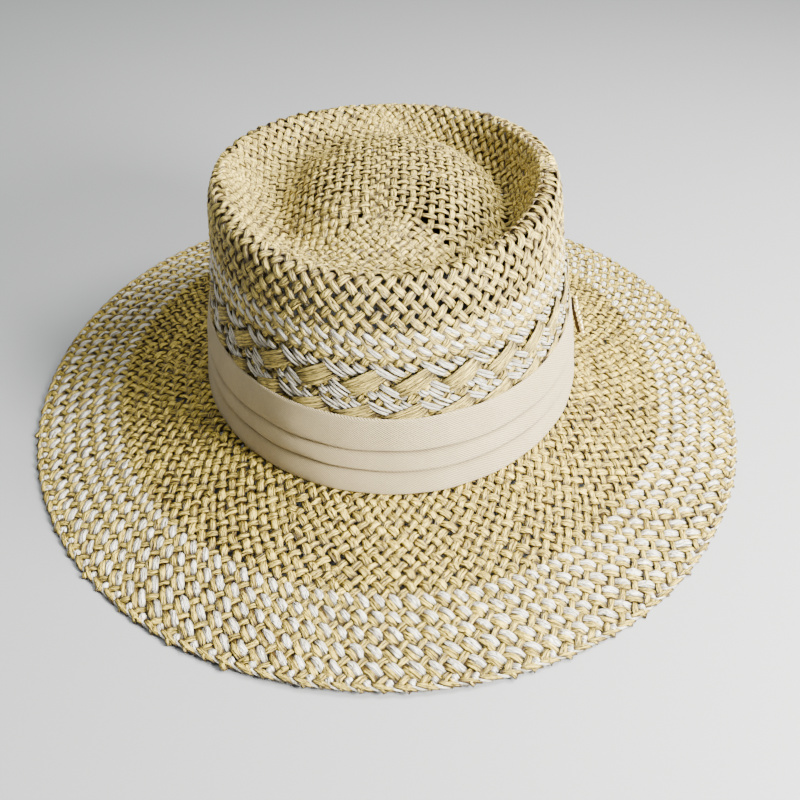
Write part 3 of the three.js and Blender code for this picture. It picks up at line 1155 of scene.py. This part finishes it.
def plateMesh():
    look = plaqueLook
    size = 4 * look["stepsPerSide"]
    points = []
    for inset, height in look["frame"]:
        w, h = look["width"] / 2 - inset, look["height"] / 2 - inset
        corners = [(-w, -h), (w, -h), (w, h), (-w, h)]
        for side in range(4):
            (x0, y0), (x1, y1) = corners[side], corners[(side + 1) % 4]
            for part in np.arange(look["stepsPerSide"]) / look["stepsPerSide"]:
                points.append(plaqueSpot(x0 + (x1 - x0) * part, y0 + (y1 - y0) * part, height))
    faces = numbered(ringFaces(len(look["frame"]), size), size)
    faces += [range(size)[::-1], range(len(points) - size, len(points))]
    return newMesh("plaque_plate", points, faces)


def beadTree():
    tree, graph, given = geometryTree("beads on points", [
        ("Radius", "NodeSocketFloat", 0.001),
        ("Smallest", "NodeSocketFloat", 0.86),
        ("Largest", "NodeSocketFloat", 1.02),
        ("Seed", "NodeSocketInt", 3),
        ("Metal", "NodeSocketMaterial", None),
    ])
    ball = graph.add("GeometryNodeMeshIcoSphere", {}, {"Radius": given["Radius"], "Subdivisions": 2})
    ball = graph.add("GeometryNodeSetShadeSmooth", {}, {"Geometry": ball, "Shade Smooth": True})
    sockets = {2: given["Smallest"], 3: given["Largest"], "Seed": given["Seed"]}
    size = graph.add("FunctionNodeRandomValue", {"data_type": "FLOAT"}, sockets, output=1)
    sockets = {"Points": given["Geometry"], "Instance": ball, "Scale": size}
    closeTree(graph, graph.add("GeometryNodeInstanceOnPoints", {}, sockets), given["Metal"])
    return tree


print("plaque")
plaqueMetal = metalMaterial("palePlaqueMetal", plaqueLook["metal"], plaqueLook["metalDark"])
# dark plate metal, which also paints the shade between the beads
plateMetal = metalMaterial("darkPlaqueMetal", plaqueLook["plateMetal"], plaqueLook["plateDark"])
platePiece = newObject("plaque_plate", plateMesh())
platePiece.data.materials.append(plateMetal)
addPiece(platePiece, "band_plaque")
beadSpots = []
beadsAcross, beadsUp = (
    np.linspace(-0.5, 0.5, plaqueLook[count]) * (plaqueLook[size] - 2 * plaqueLook["beadInset"])
    for count, size in (("beadsAcross", "width"), ("beadsUp", "height"))
)
for across in beadsAcross:
    for up in beadsUp:
        onFrame = across in beadsAcross[[0, -1]] or up in beadsUp[[0, -1]]
        beadSpots.append(plaqueSpot(across, up, plaqueLook["frameBeadHeight" if onFrame else "beadHeight"]))
beadPiece = newObject("plaque_beads", newMesh("plaque_beads", beadSpots))
runTree(beadPiece, beadTree(), {"Radius": plaqueLook["beadRadius"] * mm, "Metal": plaqueMetal})
addPiece(beadPiece, "band_plaque")

print("stage")
stageLook = {
    "floorSize": 8000.0,
    "floor": rgb(158, 160, 161),
    "floorCloud": rgb(163, 165, 165),
    "background": rgb(226, 230, 236),
    "backgroundStrength": 0.2,
}
half = stageLook["floorSize"] / 2
corners = [(-half, -half, 0), (half, -half, 0), (half, half, 0), (-half, half, 0)]
floor = newObject("floor", newMesh("floor", corners, [range(4)]))
material, graph = newMaterial("paleFloor")
cloud = graph.noise(graph.add("ShaderNodeTexCoord", output=3), 3.0)
finishMaterial(
    graph,
    Base_Color=graph.blend(cloud, stageLook["floor"], stageLook["floorCloud"]),
    Roughness=0.6,
    Specular_IOR_Level=0.3,
)
floor.data.materials.append(material)

world = bpy.data.worlds.new("studio")
bpy.context.scene.world = world
world.use_nodes = True
background = world.node_tree.nodes["Background"]
background.inputs["Color"].default_value = stageLook["background"]
background.inputs["Strength"].default_value = stageLook["backgroundStrength"]


def aimAt(thing, place, target, roll=0.0):
    away = np.array(place, float) - np.array(target, float)
    away /= np.linalg.norm(away)
    right = np.cross([0, 0, 1.0], away)
    right /= np.linalg.norm(right)
    up = np.cross(away, right)
    cosine, sine = np.cos(np.radians(roll)), np.sin(np.radians(roll))
    matrix = np.eye(4)
    matrix[:3] = np.transpose([right * cosine + up * sine, up * cosine - right * sine, away, place])
    thing.matrix_world = Matrix(matrix.tolist())


# place, what it points at, size of the panel, watts, colour
lamps = {
    "windowPanel": ((0.5, 0.02, 0.66), (0.0, 0.0, 0.05), 0.3, 17.0, (1.0, 0.985, 0.95)),
    "sidePanel": ((0.52, -0.4, 0.33), (0.0, 0.0, 0.05), 0.28, 29.0, (1.0, 0.985, 0.95)),
    "topPanel": ((-0.1, 0.1, 1.3), (0.0, 0.0, 0.0), 1.2, 13.0, (0.98, 0.99, 1.0)),
}
for name, (place, target, size, watts, colour) in lamps.items():
    light = bpy.data.lights.new(name, "AREA")
    light.shape = "DISK"
    light.size = size
    light.energy = watts
    light.color = colour
    aimAt(newObject(name, light), place, target)

cameraLook = {
    "lens": 45.0,
    "sensor": 36.0,
    "target": (0.00592, -0.0152, 0.0),
    "distance": 0.4926,
    "elevation": 38.4,
    "roll": 0.3,
}
lens = bpy.data.cameras.new("camera")
lens.lens = cameraLook["lens"]
lens.sensor_width = cameraLook["sensor"]
camera = newObject("camera", lens)
lean, target = np.radians(cameraLook["elevation"]), cameraLook["target"]
cameraPlace = target + cameraLook["distance"] * np.array([0.0, -np.cos(lean), np.sin(lean)])
aimAt(camera, cameraPlace, target, cameraLook["roll"])
bpy.context.scene.camera = camera

print("pieces:", len(pieces), "triangles:", sum(triangleCount(piece) for piece in pieces))
